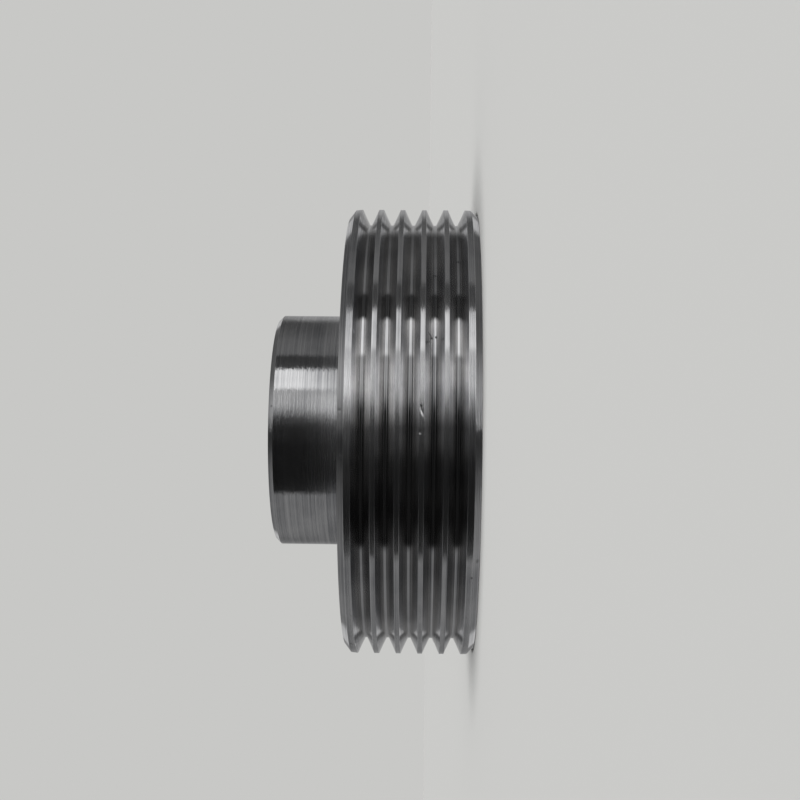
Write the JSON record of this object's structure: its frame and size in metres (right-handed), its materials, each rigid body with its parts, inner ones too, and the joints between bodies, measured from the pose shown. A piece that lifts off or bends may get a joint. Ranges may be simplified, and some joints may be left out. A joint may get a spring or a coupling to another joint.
{
  "type": "ribbed belt pulley",
  "caption": "Turned aluminium pulley for a ribbed V-belt: a grooved rim with chamfered edges and a plain round hub on one side, bored through for a shaft.",
  "frame": {"origin": "centre of the rim face it stands on, on the bore axis", "axes": "+Z along the axis from the rim face to the hub end; X and Y are free because the piece is round"},
  "size_m": [0.075, 0.075, 0.033],
  "materials": {
    "turned_aluminium": "turned, with fine tool marks around the axis"
  },
  "bodies": {
    "root": {"pulley": "turned_aluminium"}
  },
  "joints": []
}
